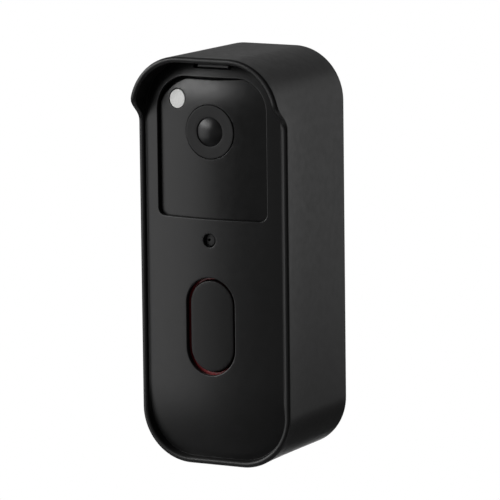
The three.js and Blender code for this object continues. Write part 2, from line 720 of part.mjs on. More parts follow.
add("button_cap", "matteBlack", buttonCap());
add("button_light_ring", "redLight", buttonLightRing());
add("button_seal", "greyRubber", buttonSeal());
add("button_board", "circuit", circuitBoard(rounded(24, 38, 3, 0, BUTTON_Y), BUTTON_BOARD_Z));
add("tactile_switch", "chip", tactileSwitch());
add("switch_plunger", "greyPlastic", disc(1.5, 0, BUTTON_Y, 31.6, 33.3, 12));
[[-1, -1], [1, -1], [-1, 1], [1, 1]].forEach(([across, up], i) => {
  const x = across * (BUTTON_WIDTH / 2 + (RING_SKIRT.inner + RING_SKIRT.outer) / 2);
  const y = BUTTON_Y + up * 5.5;
  add(`ring_led_${i + 1}`, "whiteLens", box(x - 0.6, x + 0.6, y - 1.2, y + 1.2, 30.9, 32.2));
});

add("release_tab", "greyPlastic", releaseTab());
add("release_spring", "steel", releaseSpring());

add("battery_1", "wrap", battery(-CELL_X));
add("battery_2", "wrap", battery(CELL_X));
add("battery_tray", "greyPlastic", batteryTray());
add("battery_contact_top", "steel", batteryContact(32.75));
add("battery_contact_bottom", "steel", batteryContact(-32.75));
add("main_board", "circuit", circuitBoard(outline(-20, 20, -36, 31, 2), MAIN_BOARD_Z));
add("shield_can", "tin", box(3.6, 18.4, 1.5, 22, 28, 30));
add("wifi_module", "chip", box(-18.5, -5.5, 10, 22, 28, 30.2));
add("antenna", "copper", box(-22.2, -21.8, -22, 18, 23.4, 31.4));
add("board_connector", "chip", box(-4, 4, -36, -33, 28, 29.4));

add("speaker_frame", "chip", speakerFrame());
add("speaker_cone", "greyPlastic", speakerCone());
add("speaker_gasket", "greyRubber", speakerGasket());
add("charge_board", "circuit", circuitBoard(outline(-9, 15, -62.4, -44.6, 1, 5), CHARGE_BOARD_Z, 1));
add("usb_port", "tin", usbPort());
add("port_flap", "silicone", portFlap());
add("reset_switch", "chip", box(RESET.x - 2, RESET.x + 2, RESET.y - 2, RESET.y + 2, 7.6, 9));
add("reset_button", "greyPlastic", resetButton());
TERMINALS.forEach((place, i) => add(`terminal_screw_${i + 1}`, "brass", terminalScrew(place)));

export default doorbell;
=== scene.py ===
import json
import math

import bmesh
import bpy
import numpy as np
from mathutils import Matrix, Vector
from mathutils.geometry import delaunay_2d_cdt


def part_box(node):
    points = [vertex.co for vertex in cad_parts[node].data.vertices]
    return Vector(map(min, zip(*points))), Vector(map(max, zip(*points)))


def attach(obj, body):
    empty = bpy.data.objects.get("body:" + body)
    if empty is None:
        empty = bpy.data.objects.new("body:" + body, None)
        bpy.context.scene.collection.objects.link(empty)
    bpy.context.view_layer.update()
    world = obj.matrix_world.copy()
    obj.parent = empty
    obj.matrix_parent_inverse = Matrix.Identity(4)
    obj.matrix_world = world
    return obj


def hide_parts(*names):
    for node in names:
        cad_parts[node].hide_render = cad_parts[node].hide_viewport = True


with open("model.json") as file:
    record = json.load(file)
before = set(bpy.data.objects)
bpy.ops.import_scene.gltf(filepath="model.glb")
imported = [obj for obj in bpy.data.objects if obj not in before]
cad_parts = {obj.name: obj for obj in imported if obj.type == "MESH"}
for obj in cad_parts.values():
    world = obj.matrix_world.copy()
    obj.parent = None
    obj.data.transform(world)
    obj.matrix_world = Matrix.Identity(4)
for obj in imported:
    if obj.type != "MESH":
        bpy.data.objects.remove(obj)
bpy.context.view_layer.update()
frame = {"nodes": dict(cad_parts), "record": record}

# Lengths in this script are millimetres: x across, d out from the wall and z up, as the doorbell
# hangs. A point (x, d, z) is at (x, -d, z) / 1000 in the frame's metres.
MM = 0.001


def node_box(node):
    """A node's lowest and highest (x, d, z), in millimetres."""
    low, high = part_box(node)
    return (low.x / MM, -high.y / MM, low.z / MM), (high.x / MM, -low.y / MM, high.z / MM)


CLEARANCE = 0.3  # around pieces that sit in a recess

# ---- the silicone cover's sizes ------------------------------------------------------------------

COVER_LOW, COVER_HIGH = node_box("silicone_cover")
COVER_WIDTH = COVER_HIGH[0] - COVER_LOW[0]
COVER_HEIGHT = COVER_HIGH[2] - COVER_LOW[2]
COVER_BACK = COVER_LOW[1]
COVER_CORNER = 17.6
COVER_WALL = 2.0
FILLET = 0.1  # in the corner between the fascia and the wall
JOIN = COVER_WALL + FILLET  # from the outline in to where the fascia starts
BACK_EDGE = 0.4
TOP_DRAFT = 0.35  # how much shorter the back outline is, at each end
BOTTOM_DRAFT = 0.75

VISOR = COVER_HIGH[1]
VISOR_DEPTH = 6.0
RIM = VISOR - VISOR_DEPTH
STEP_LOW = 44.4  # the visor fades out between these heights
STEP_HIGH = 54.2
BEAD_DEPTH = 0.85  # of the rim's round bead
BEAD_INSIDE = 0.95  # from the bead's crest to its inner foot
CREST_SHARE = 0.85  # of the flare that the crest moves out by
SIDE_FLARE = 0.6  # how far the rim stands out past the wall behind it
END_FLARE = 0.22
FLARE_TOP = 52.0  # the flare fades from here up
FLARE_FADE = 5  # how sharply the flare dies away behind the rim

FASCIA_OUT = 2.0  # the fascia's surfaces, out from the doorbell's crowned face
FASCIA_IN = 0.3
WINDOW = (-20.2, 20.2, 14.35, 60.5)  # left, right, bottom and top
WINDOW_CORNERS = (10.8, 2.5)  # top and bottom
TAB_SLOT = (-7.0, 7.0, 63.3, 64.98)
SPEAKER_HOLE = (22.0, 8.4, 3.0, 27.8)  # width, depth, corner and middle, in the underside
PORT_NOTCH = (-9.0, 9.0, -5.0, 18.0)  # left, right, back and front

# ---- the doorbell's sizes ------------------------------------------------------------------------

HOUSING_LOW, HOUSING_HIGH = node_box("front_housing")
HOUSING_WIDTH = HOUSING_HIGH[0] - HOUSING_LOW[0]
HOUSING_HEIGHT = HOUSING_HIGH[2] - HOUSING_LOW[2]
HOUSING_BACK = node_box("rear_housing")[0][1]
HOUSING_CORNER = 15.3
HOUSING_WALL = 2.0
SPLIT = HOUSING_LOW[1]  # where the two halves meet
SPLIT_CHAMFER = (0.15, 0.2)  # in from the side, and along it

FACE = HOUSING_HIGH[1]
FACE_RADIUS = 86.0
FACE_DEPTH = 3.4
FACE_EDGE = 0.9
TOP_ROLL = (49.0, 34.0)  # where the face starts to roll back, and the radius
BOTTOM_ROLL = (-40.0, 75.0)
PAST_FACE = FACE + 3  # how far out cutting tools reach

PANEL_PROUD = 0.6
PANEL_FLANGE = (1.6, -1.0, -1.6)  # its width, its front and its back
PANEL_SEAT = (1.9, -1.8)  # its margin round the window and its floor
PANEL_GAP = (0.05, 0.62, 2.1)  # to the cover: all round, more at the top, and more at top left
GAP_FADE = (13, 11)  # the top's gap ends at this x, and is full this far left of it
LENS_LOW, LENS_HIGH = node_box("lens_ring")
LENS_X = -0.2
LENS_Z = (LENS_LOW[2] + LENS_HIGH[2]) / 2
LENS_RADIUS = (LENS_HIGH[2] - LENS_LOW[2]) / 2 - 0.25
LENS_HOLE = 4.7
LENS_FRONT = LENS_HIGH[1] + PANEL_PROUD - 0.2
DOME_RADIUS = 4.62
DOME_HEIGHT = 1.15
DOME_BEHIND = 0.3  # from the ring's front to the dome's foot
SENSOR = (-12.75, 52.95)
SENSOR_RADIUS = 3.1
SENSOR_BACK = 36.6
SENSOR_CROWN = 0.12
LED_X = 14.5
LED_Z = 26.0
MIC = (-0.7, 7.3)
MIC_HOLE = 2.2
PINHOLE = 0.45
WELL_BACK = 30.0  # the wells behind the face reach back to here
CAMERA_WELL = 6.9
SENSOR_WELL = 3.5
LED_WELL = 2.5
GRILLE = (24.6, 31.0)  # back and front of the speaker's slots
GRILLE_SLOTS = (-8, -4, 0, 4, 8)
MIC_PAD = (2.15, 0.7, -0.4)  # its radius, its front and its back

CAP_LOW, CAP_HIGH = node_box("button_cap")
BUTTON_Z = (CAP_LOW[2] + CAP_HIGH[2]) / 2
BUTTON_SIZE = (16.0, 30.2)
BUTTON_OPENING = (17.8, 32.2)
BUTTON_SHIFT = (0.15, 0.1)  # the cap's offset, against the opening's of -0.15 across
BUTTON_PROUD = 1.4
CAP_BACK = 34.9
CAP_FLANGE = (1.3, 35.1, 33.6)  # its margin round the cap, its front and its back
GLOW_RING = (1.6, 0.3, 36.0)  # its outer and inner margins round the cap, and its back
RING_FOOT = (3.0, 1.7, 36.6, 32.6)  # the same, with its front before its back
TAB_LOW, TAB_HIGH = node_box("release_tab")

POCKET = (39.2, 111.2, -1.0)  # the bracket's pocket: width, height and middle
POCKET_DEPTH = 3.6
POCKET_CORNER = 8.6
BRACKET_LOW, BRACKET_HIGH = node_box("wall_bracket")
HOOKS = (-44.0, 44.0)
HOOK_HALF = 4.0
HOOK_SLOT = (-8.5, 2.8)  # how far a slot reaches below and above its hook
SCREWS = [(-19.2, 40.0), (19.2, 40.0), (-19.2, -42.0), (19.2, -42.0)]
TERMINALS = [(-13.0, 42.0), (13.0, 42.0)]
RESET = (12.0, -48.5)
FLAP_LOW, FLAP_HIGH = node_box("port_flap")
PORT_DEPTH = (FLAP_LOW[1] + FLAP_HIGH[1]) / 2


# ---- outlines and heights ------------------------------------------------------------------------

def value(height, across, up):
    """A height, which is a number or a function of x and z, at each point."""
    return height(across, up) if callable(height) else np.full(len(across), float(height))


class Outline:
    """Points round a closed line in x and z, with the normals that point out of it."""

    def __init__(self, points, normals):
        self.points = np.array(points)
        self.normals = np.array(normals)

    def loop(self, inset, height):
        """The line moved in by an inset, at a height."""
        flat = self.points - self.normals * np.reshape(inset, (-1, 1))
        across, up = flat[:, 0], flat[:, 1]
        return np.column_stack([across, value(height, across, up), up])


def straight(start, end, normal, step):
    """The points of a straight side, without its last one."""
    count = max(1, round(math.dist(start, end) / step))
    along = (end[0] - start[0], end[1] - start[1])
    points = []
    for i in range(count):
        points.append(((start[0] + along[0] * i / count, start[1] + along[1] * i / count), normal))
    return points


def arc(centre, radius, start, step):
    """The points of a quarter circle, without its last one."""
    count = max(6, round(math.pi / 2 * radius / step))
    points = []
    for i in range(count):
        angle = start + math.pi / 2 * i / count
        normal = (math.cos(angle), math.sin(angle))
        points.append(((centre[0] + radius * normal[0], centre[1] + radius * normal[1]), normal))
    return points


def box_outline(left, right, bottom, top, top_corner, bottom_corner=None, step=1.0):
    """An upright rounded rectangle, anticlockwise from the bottom of its right side."""
    low = top_corner if bottom_corner is None else bottom_corner
    high = top_corner
    quarter = math.pi / 2
    made = straight((right, bottom + low), (right, top - high), (1, 0), step)
    made += arc((right - high, top - high), high, 0, step)
    made += straight((right - high, top), (left + high, top), (0, 1), step)
    made += arc((left + high, top - high), high, quarter, step)
    made += straight((left, top - high), (left, bottom + low), (-1, 0), step)
    made += arc((left + low, bottom + low), low, 2 * quarter, step)
    made += straight((left + low, bottom), (right - low, bottom), (0, -1), step)
    made += arc((right - low, bottom + low), low, 3 * quarter, step)
    return Outline([point for point, _ in made], [normal for _, normal in made])


def centred(width, height, corner, x=0.0, z=0.0, step=1.0):
    """A rounded rectangle given by its size and middle."""
    sides = (x - width / 2, x + width / 2, z - height / 2, z + height / 2)
    return box_outline(*sides, corner, step=step)


def circle(radius, x, z, count):
    angles = np.arange(count) * 2 * math.pi / count
    normals = np.column_stack([np.cos(angles), np.sin(angles)])
    return Outline(normals * radius + np.array([x, z]), normals)


def grown(line, amount):
    """The same outline, larger by an amount all round."""
    return Outline(line.points + line.normals * amount, line.normals)


def window_outline(margin=0.0, step=1.0):
    """The cover's window, larger by a margin."""
    return grown(box_outline(*WINDOW, *WINDOW_CORNERS, step), margin)


def stadium(margin):
    """A round-ended outline around the button's cap, larger than it by a margin."""
    width, height = BUTTON_SIZE
    x, z = BUTTON_SHIFT
    return grown(centred(width, height, width / 2, x, BUTTON_Z + z, 0.6), margin)


def button_opening():
    """The round-ended opening in the cover."""
    width, height = BUTTON_OPENING
    return centred(width, height, width / 2, -BUTTON_SHIFT[0], BUTTON_Z, 0.7)


def housing_outline(inset):
    """The housing's outline from the front, moved in by an inset."""
    width, height = HOUSING_WIDTH - 2 * inset, HOUSING_HEIGHT - 2 * inset
    return centred(width, height, HOUSING_CORNER - inset)


def roll_back(distance, radius):
    """How far a surface falls back, past the line where it starts to roll."""
    reach = np.clip(distance, 0, radius * 0.95)
    return radius - np.sqrt(radius ** 2 - reach ** 2)


def face_height(across, up):
    """The crowned face: convex across, and rolling back at the top and the bottom."""
    top = roll_back(up - TOP_ROLL[0], TOP_ROLL[1])
    bottom = roll_back(BOTTOM_ROLL[0] - up, BOTTOM_ROLL[1])
    return FACE - across ** 2 / (2 * FACE_RADIUS) - top - bottom


def offset_face(amount):
    return lambda across, up: face_height(across, up) + amount


def between(low, high, share):
    """A height part of the way from one surface to another."""
    def height(across, up):
        start = value(low, across, up)
        return start + (value(high, across, up) - start) * share
    return height


def quarter_turn(steps):
    """The sine and cosine of each angle of a quarter turn, with both ends."""
    angles = [math.pi / 2 * i / steps for i in range(steps + 1)]
    return [(math.sin(angle), math.cos(angle)) for angle in angles]


# ---- surfaces: each is an array of (x, d, z) points and a list of faces --------------------------

def loft(loops):
    """Quads between loops of the same length."""
    count = len(loops[0])
    faces = []
    for i in range(len(loops) - 1):
        for j in range(count):
            k = (j + 1) % count
            faces.append((i * count + j, i * count + k, (i + 1) * count + k, (i + 1) * count + j))
    return np.vstack(loops), faces


def inside(flat, polygon):
    """Which points lie inside a polygon."""
    x, z = flat[:, 0][:, None], flat[:, 1][:, None]
    x0, z0 = polygon[:, 0], polygon[:, 1]
    x1, z1 = np.roll(x0, -1), np.roll(z0, -1)
    rise = np.where(z1 == z0, 1e-12, z1 - z0)
    crossing = ((z0 > z) != (z1 > z)) & (x < (x1 - x0) * (z - z0) / rise + x0)
    return crossing.sum(axis=1) % 2 == 1


def filled(flat, rings):
    """Which points lie inside the first ring and outside the others."""
    keep = inside(flat, rings[0])
    for ring in rings[1:]:
        keep &= ~inside(flat, ring)
    return keep


def patch(outer, holes, height, step):
    """A surface that fills a loop around holes, with a grid of points inside it."""
    rings = [loop[:, [0, 2]] for loop in [outer, *holes]]
    low, high = rings[0].min(axis=0), rings[0].max(axis=0)
    across = np.linspace(low[0], high[0], max(3, round((high[0] - low[0]) / step)))
    up = np.linspace(low[1], high[1], max(3, round((high[1] - low[1]) / step)))
    grid = np.array([(a, b) for a in across for b in up])
    edge = np.vstack(rings)
    gap = np.sqrt(((grid[:, None, :] - edge[None, :, :]) ** 2).sum(axis=2)).min(axis=1)
    grid = grid[filled(grid, rings) & (gap > 0.55 * step)]
    flat = np.vstack([edge, grid])
    lines = []
    first = 0
    for ring in rings:
        lines += [(first + j, first + (j + 1) % len(ring)) for j in range(len(ring))]
        first += len(ring)
    made = delaunay_2d_cdt([Vector(p) for p in flat], lines, [], 0, 1e-7)
    origin = [ids[0] for ids in made[3]]
    faces = np.array([[origin[v] for v in face] for face in made[2]])
    keep = filled(flat[faces].mean(axis=1), rings)
    points = np.column_stack([flat[:, 0], value(height, flat[:, 0], flat[:, 1]), flat[:, 1]])
    return points, [tuple(face) for face in faces[keep].tolist()]


def rounded_over(line, side, surface, edge, steps=4, way=-1):
    """Loops from a surface over a rounded edge to a wall.

    The side is 1 where the line is the outer one and -1 where it is a hole's, and the way is -1
    for a surface in front of the wall and 1 for one behind it.
    """
    loops = []
    for sine, cosine in quarter_turn(steps):
        inset = side * edge * (1 - sine)
        change = way * edge * (1 - cosine)
        loops.append(line.loop(inset, lambda a, u, change=change: value(surface, a, u) + change))
    return loops


def rounded_wall(line, side, top, bottom, edge):
    """A wall with rounded edges, from a top surface to a bottom surface."""
    behind = rounded_over(line, side, bottom, edge, way=1)
    return loft(rounded_over(line, side, top, edge) + behind[::-1])


def plate(line, top, bottom, holes=(), edge=0.3, step=1.5, open_rim=False):
    """A closed plate with rounded edges, and holes given as pairs of an outline and an edge radius.

    With open_rim its outer edge is left for a loft to join.
    """
    start = 0.0 if open_rim else edge
    parts = []
    for surface in (top, bottom):
        rims = [hole.loop(-rounding, surface) for hole, rounding in holes]
        parts.append(patch(line.loop(start, surface), rims, surface, step))
    parts += [rounded_wall(hole, -1, top, bottom, rounding) for hole, rounding in holes]
    if not open_rim:
        parts.append(rounded_wall(line, 1, top, bottom, edge))
    return parts


def turned(profile, x, z, count):
    """A profile of (radius, d) points turned about a line out of the wall at (x, z)."""
    around = circle(1.0, 0, 0, count).points
    placed = []
    for radius, d in profile:
        ring = around * max(radius, 1e-4)
        placed.append(np.column_stack([ring[:, 0] + x, np.full(count, float(d)), ring[:, 1] + z]))
    return [loft(placed)]


def disc_part(radius, x, z, back, front, count=32):
    """A round block."""
    return turned([(0, back), (radius, back), (radius, front), (0, front)], x, z, count)


def box_part(left, right, back, front, low, high, corner=0.3):
    """A block with rounded upright corners."""
    line = box_outline(left, right, low, high, corner, step=20.0)
    return plate(line, front, back, edge=min(0.25, corner), step=20.0)


def underside(line, high, low, edge=0.02):
    """A block whose outline is drawn in x and d, from one height down to another."""
    parts = plate(line, high, low, edge=edge, step=30.0)
    return [(points[:, [0, 2, 1]], faces) for points, faces in parts]


def mesh_object(name, parts):
    """One object from several surfaces, welded where they meet."""
    mesh = bmesh.new()
    for points, faces in parts:
        made = [mesh.verts.new((x * MM, -d * MM, z * MM)) for x, d, z in points]
        for face in faces:
            mesh.faces.new([made[i] for i in face])
    bmesh.ops.remove_doubles(mesh, verts=mesh.verts, dist=2e-6)
    loose = [vert for vert in mesh.verts if not vert.link_faces]
    bmesh.ops.delete(mesh, geom=loose, context="VERTS")
    bmesh.ops.recalc_face_normals(mesh, faces=mesh.faces)
    data = bpy.data.meshes.new(name)
    mesh.to_mesh(data)
    mesh.free()
    piece = bpy.data.objects.new(name, data)
    bpy.context.scene.collection.objects.link(piece)
    return piece


def apply_modifiers(piece):
    graph = bpy.context.evaluated_depsgraph_get()
    data = bpy.data.meshes.new_from_object(piece.evaluated_get(graph))
    piece.modifiers.clear()
    piece.data = data


def cut(piece, blocks, operation="DIFFERENCE"):
    """Cuts blocks out of a piece, or joins them to it."""
    tools = [mesh_object(f"{piece.name}_tool", block) for block in blocks]
    for tool in tools:
        change = piece.modifiers.new("cut", "BOOLEAN")
        change.object = tool
        change.operation = operation
        change.solver = "EXACT"
    apply_modifiers(piece)
    for tool in tools:
        bpy.data.objects.remove(tool)


def soften(piece, width):
    """Rounds the sharp edges that cutting leaves."""
    bevel = piece.modifiers.new("edges", "BEVEL")
    bevel.width = width * MM
    bevel.segments = 2
    bevel.limit_method = "ANGLE"
    bevel.angle_limit = math.radians(50)
    apply_modifiers(piece)


# ---- materials -----------------------------------------------------------------------------------

NOISE_LOW = 0.3  # most of a noise texture lies between these
NOISE_HIGH = 0.7
CAD_SHARP = 38  # edges steeper than this stay sharp, in degrees
PIECE_SHARP = 40


def principled(material):
    return material.node_tree.nodes["Principled BSDF"]


def new_material(name, color, roughness, metallic=0.0):
    """A Principled material whose steady values sit on its own sockets."""
    material = bpy.data.materials.new(name)
    material.use_nodes = True
    shader = principled(material)
    shader.inputs["Base Color"].default_value = (*color, 1.0)
    shader.inputs["Roughness"].default_value = roughness
    shader.inputs["Metallic"].default_value = metallic
    return material


def noise(tree, scale, detail=3.0, roughness=0.5, stretch=None):
    """Noise in the object's own space, with its scale in cycles per metre."""
    place = tree.nodes.new("ShaderNodeTexCoord").outputs["Object"]
    if stretch:
        mapping = tree.nodes.new("ShaderNodeMapping")
        mapping.inputs["Scale"].default_value = stretch
        tree.links.new(place, mapping.inputs["Vector"])
        place = mapping.outputs["Vector"]
    texture = tree.nodes.new("ShaderNodeTexNoise")
    texture.inputs["Scale"].default_value = scale
    texture.inputs["Detail"].default_value = detail
    texture.inputs["Roughness"].default_value = roughness
    tree.links.new(place, texture.inputs["Vector"])
    return texture.outputs["Fac"]


def vary_color(material, source, low, high):
    """Runs the base colour between two colours as a texture rises."""
    tree = material.node_tree
    ramp = tree.nodes.new("ShaderNodeValToRGB")
    ramp.color_ramp.elements[0].position = NOISE_LOW
    ramp.color_ramp.elements[0].color = (*low, 1.0)
    ramp.color_ramp.elements[1].position = NOISE_HIGH
    ramp.color_ramp.elements[1].color = (*high, 1.0)
    tree.links.new(source, ramp.inputs["Fac"])
    tree.links.new(ramp.outputs["Color"], principled(material).inputs["Base Color"])


def vary_roughness(material, source, low, high):
    tree = material.node_tree
    change = tree.nodes.new("ShaderNodeMapRange")
    change.inputs["From Min"].default_value = NOISE_LOW
    change.inputs["From Max"].default_value = NOISE_HIGH
    change.inputs["To Min"].default_value = low
    change.inputs["To Max"].default_value = high
    tree.links.new(source, change.inputs["Value"])
    tree.links.new(change.outputs["Result"], principled(material).inputs["Roughness"])


def add_bump(material, source, depth):
    """Raises the surface by a texture, with its depth in millimetres."""
    tree = material.node_tree
    bump = tree.nodes.new("ShaderNodeBump")
    bump.inputs["Distance"].default_value = depth * MM
    tree.links.new(source, bump.inputs["Height"])
    tree.links.new(bump.outputs["Normal"], principled(material).inputs["Normal"])


FAINT_BLUE = (1.0, 1.0, 1.02)


def moulded(name, shade, roughness, grain=2600.0, depth=0.004, tint=FAINT_BLUE, specular=0.25):
    """Moulded rubber or plastic: a fine spark-eroded grain, with faint clouds in tone and gloss."""
    color = tuple(shade * part for part in tint)
    material = new_material(name, color, roughness)
    principled(material).inputs["Specular IOR Level"].default_value = specular
    tree = material.node_tree
    clouds = noise(tree, 90.0, 4.0)
    vary_color(material, clouds, [part * 0.93 for part in color], [part * 1.07 for part in color])
    vary_roughness(material, noise(tree, 420.0), roughness - 0.03, roughness + 0.03)
    add_bump(material, noise(tree, grain, 2.0), depth)
    return material


def circuit_board(name):
    """Green solder mask over copper tracks."""
    material = new_material(name, (0.01, 0.08, 0.03), 0.35)
    tree = material.node_tree
    tracks = tree.nodes.new("ShaderNodeTexVoronoi")
    tracks.feature = "DISTANCE_TO_EDGE"
    tracks.inputs["Scale"].default_value = 420.0
    place = tree.nodes.new("ShaderNodeTexCoord").outputs["Object"]
    tree.links.new(place, tracks.inputs["Vector"])
    ramp = tree.nodes.new("ShaderNodeValToRGB")
    ramp.color_ramp.interpolation = "CONSTANT"
    ramp.color_ramp.elements[0].color = (0.03, 0.19, 0.07, 1.0)
    ramp.color_ramp.elements[1].position = 0.12
    ramp.color_ramp.elements[1].color = (0.008, 0.075, 0.028, 1.0)
    tree.links.new(tracks.outputs["Distance"], ramp.inputs["Fac"])
    tree.links.new(ramp.outputs["Color"], principled(material).inputs["Base Color"])
    add_bump(material, tracks.outputs["Distance"], 0.02)
    vary_roughness(material, noise(tree, 600.0), 0.3, 0.42)
    return material


def worked_metal(name, color, roughness, stretch):
    """Metal with fine lines along the way it was drawn or rolled."""
    material = new_material(name, color, roughness, metallic=1.0)
    tree = material.node_tree
    lines = noise(tree, 900.0, 4.0, 0.6, stretch)
    vary_roughness(material, lines, roughness - 0.08, roughness + 0.1)
    vary_color(material, noise(tree, 300.0), [part * 0.85 for part in color], color)
    add_bump(material, lines, 0.006)
    return material


def clear_resin(name, color, transmission, roughness):
    """Clear or translucent plastic, with faint clouds in its gloss."""
    material = new_material(name, color, roughness)
    shader = principled(material)
    shader.inputs["Transmission Weight"].default_value = transmission
    shader.inputs["IOR"].default_value = 1.5
    vary_roughness(material, noise(material.node_tree, 500.0), roughness, roughness + 0.06)
    return material


def milky_plastic(name):
    """Milky polyethylene with a fine stipple."""
    material = new_material(name, (0.66, 0.66, 0.65), 0.5)
    stipple = noise(material.node_tree, 2200.0, 2.0)
    vary_color(material, stipple, (0.6, 0.6, 0.59), (0.7, 0.7, 0.69))
    add_bump(material, stipple, 0.03)
    return material


# Shade and roughness, then what differs from the usual grain, depth, tint and specular level.
MOULDED = {
    "cover_silicone": (0.009, 0.38, {"grain": 3000.0, "depth": 0.003}),
    "housing_plastic": (0.009, 0.45, {"grain": 2200.0, "depth": 0.006}),
    "window_gloss": (0.006, 0.32, {"grain": 4000.0, "depth": 0.0008}),
    "lens_glass": (0.006, 0.34, {"grain": 5000.0, "depth": 0.0005, "tint": (1.0, 1.0, 1.05)}),
    "ring_plastic": (0.01, 0.55, {"grain": 3000.0, "depth": 0.003, "specular": 0.2}),
    "button_plastic": (0.005, 0.42, {"grain": 3200.0, "depth": 0.002, "specular": 0.2}),
    "tab_plastic": (0.09, 0.5, {}),
    "bracket_plastic": (0.07, 0.55, {"grain": 1800.0, "depth": 0.008}),
    "seal_rubber": (0.05, 0.75, {}),
    "flap_rubber": (0.026, 0.6, {}),
    "chip_black": (0.018, 0.45, {"grain": 3500.0}),
    "cone_paper": (0.1, 0.8, {"grain": 1500.0, "depth": 0.02}),
    "battery_wrap": (0.2, 0.3, {"grain": 700.0, "tint": (0.17, 0.65, 1.8)}),
    "flex_copper": (0.3, 0.35, {"tint": (1.2, 0.45, 0.1)}),
}

# Colour, roughness, and how much finer the lines are along x, y and z.
METALS = {
    "tin_plate": ((0.6, 0.61, 0.62), 0.32, (1, 1, 12)),
    "spring_steel": ((0.5, 0.5, 0.51), 0.3, (1, 14, 1)),
    "screw_steel": ((0.3, 0.3, 0.31), 0.35, (6, 1, 6)),
    "terminal_brass": ((0.7, 0.5, 0.2), 0.3, (1, 10, 1)),
}

# Colour, transmission and roughness.
RESINS = {
    "light_ring_red": ((0.2, 0.01, 0.014), 0.2, 0.35),
    "led_clear": ((0.85, 0.85, 0.8), 0.5, 0.12),
    "filter_glass": ((0.5, 0.06, 0.12), 0.8, 0.05),
}

MATERIALS = {
    "circuit_board": circuit_board("circuit_board"),
    "sensor_white": milky_plastic("sensor_white"),
}
for name, (shade, roughness, more) in MOULDED.items():
    MATERIALS[name] = moulded(name, shade, roughness, **more)
for name, look in METALS.items():
    MATERIALS[name] = worked_metal(name, *look)
for name, look in RESINS.items():
    MATERIALS[name] = clear_resin(name, *look)

SLOTS = {entry["node"]: entry["material_slot"] for entry in frame["record"]["subparts"]}


def dress(piece, node, sharp_angle):
    """Gives a piece its node's material, and shades it smooth between sharp edges."""
    piece.data.materials.clear()
    piece.data.materials.append(MATERIALS[SLOTS[node]])
    piece.data.shade_smooth()
    piece.data.set_sharp_from_angle(angle=math.radians(sharp_angle))


def dress_frame_nodes():
    """Dresses every node of the CAD, for the ones that stay in view."""
    for node, piece in frame["nodes"].items():
        dress(piece, node, CAD_SHARP)


def finish_piece(piece, body, replaced):
    """Dresses a new piece and puts it on its body in place of the nodes it replaces."""
    dress(piece, replaced[0], PIECE_SHARP)
    weighted = piece.modifiers.new("normals", "WEIGHTED_NORMAL")
    weighted.keep_sharp = True
    weighted.weight = 80
    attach(piece, body)
    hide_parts(*replaced)


# ---- the silicone cover --------------------------------------------------------------------------

def rim_front(up):
    """How far out the rim stands at a height: an S-curve from the rim up to the visor."""
    t = np.clip((up - STEP_LOW) / (STEP_HIGH - STEP_LOW), 0, 1)
    return RIM + VISOR_DEPTH * t ** 3 * (10 - 15 * t + 6 * t ** 2)


def bead_foot(across, up):
    """How far out the rim's bead starts."""
    return rim_front(up) - BEAD_DEPTH


def rim_flare(line):
    """How far the rim stands out past the wall behind it. It fades towards the visor."""
    sides = END_FLARE + (SIDE_FLARE - END_FLARE) * np.abs(line.normals[:, 0])
    below_top = COVER_HEIGHT / 2 - line.points[:, 1]
    return sides * np.clip(below_top / (COVER_HEIGHT / 2 - FLARE_TOP), 0, 1)


def drafted(loop, share):
    """The same loop, made shorter by the mould's draft, which grows towards the back."""
    draft = np.where(loop[:, 2] > 0, TOP_DRAFT, BOTTOM_DRAFT)
    drawn = loop.copy()
    drawn[:, 2] *= 1.0 - share * draft / (COVER_HEIGHT / 2)
    return drawn


def cover_wall_loops(line):
    """The cover's wall, from its fascia over the rim's round bead to the back and inside again."""
    flare = rim_flare(line)
    crest = COVER_WALL / 2 - CREST_SHARE * flare
    loops = []
    for sine, cosine in quarter_turn(5):
        rise = FILLET * (1 - cosine)
        loops.append(line.loop(JOIN - FILLET * sine, offset_face(FASCIA_OUT + rise)))
    for share in (0.35, 0.7):
        inset = COVER_WALL + (crest + BEAD_INSIDE - COVER_WALL) * share
        loops.append(line.loop(inset, between(offset_face(FASCIA_OUT + FILLET), bead_foot, share)))
    bead_steps = 18
    for i in range(bead_steps + 1):
        angle = math.pi * i / bead_steps
        reach = BEAD_INSIDE if angle < math.pi / 2 else crest + flare
        drop = BEAD_DEPTH * (1 - math.sin(angle))
        inset = crest + reach * math.cos(angle)
        loops.append(line.loop(inset, lambda a, u, drop=drop: rim_front(u) - drop))
    for share in (0.03, 0.07, 0.12, 0.18, 0.26, 0.36, 0.5, 0.66, 0.83, 1.0):
        height = between(bead_foot, COVER_BACK + BACK_EDGE, share)
        loops.append(drafted(line.loop(-flare * (1 - share) ** FLARE_FADE, height), share))
    for sine, cosine in quarter_turn(4)[1:]:
        height = COVER_BACK + BACK_EDGE * (1 - sine)
        loops.append(drafted(line.loop(BACK_EDGE * (1 - cosine), height), 1.0))
    for sine, cosine in quarter_turn(4):
        inset = COVER_WALL - BACK_EDGE * (1 - sine)
        loops.append(line.loop(inset, COVER_BACK + BACK_EDGE * (1 - cosine)))
    for depth in (10.0, 20.0, 30.0):
        loops.append(line.loop(COVER_WALL, depth))
    for sine, cosine in quarter_turn(4):
        drop = FILLET * (1 - sine)
        loops.append(line.loop(JOIN - FILLET * cosine, offset_face(FASCIA_IN - drop)))
    return loops


